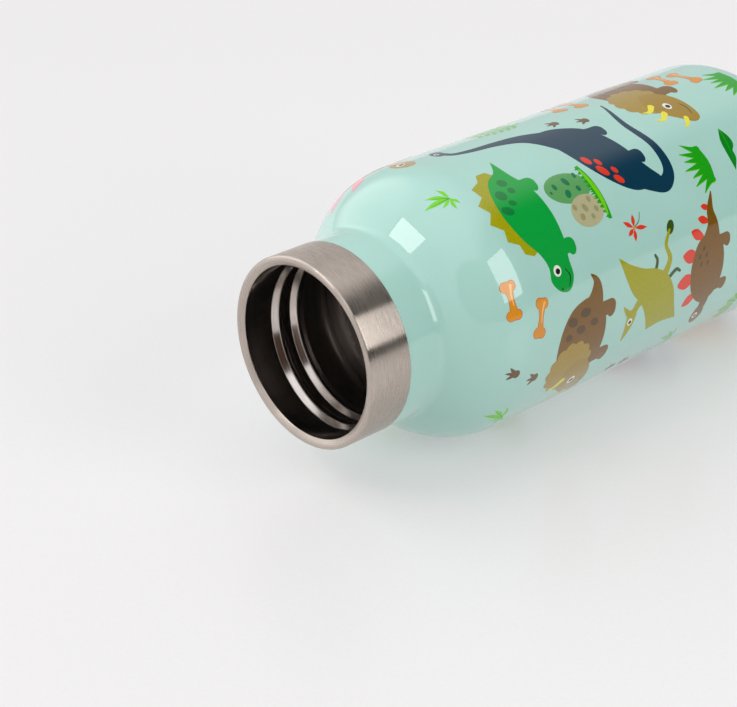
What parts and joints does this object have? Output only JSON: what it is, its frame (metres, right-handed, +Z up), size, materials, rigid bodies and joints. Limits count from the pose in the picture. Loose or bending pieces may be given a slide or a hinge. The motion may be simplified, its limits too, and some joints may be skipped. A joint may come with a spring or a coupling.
{
  "type": "insulated water bottle",
  "caption": "Small double-wall vacuum bottle for a child with a rounded shoulder, short neck, bare steel mouth ring and internal screw thread, lying open on its side.",
  "frame": {"origin": "on the surface that the bottle lies on, below the middle of its length", "axes": "+X along the bottle's axis from the mouth to the base, +Z up, +Y across"},
  "size_m": [0.1686, 0.0728, 0.0728],
  "materials": {
    "painted_shell": "gloss pale mint paint with printed animal and plant motifs",
    "brushed_ring": "circumferentially brushed, polished on the rim",
    "liner_steel": "electropolished, darker than the ring",
    "base_steel": "satin, turned",
    "foil": "thin bright foil",
    "getter": "pressed metal powder, matt",
    "seal_glass": "glossy solder glass"
  },
  "bodies": {
    "root": {"outer_shell": "painted_shell", "mouth_ring": "brushed_ring", "inner_liner": "liner_steel", "liner_base": "liner_steel", "radiation_foil": "foil", "getter_holder": "liner_steel", "getter_pellet": "getter", "outer_base": "base_steel", "seal_bead": "seal_glass", "base_cover": "base_steel"}
  },
  "joints": []
}
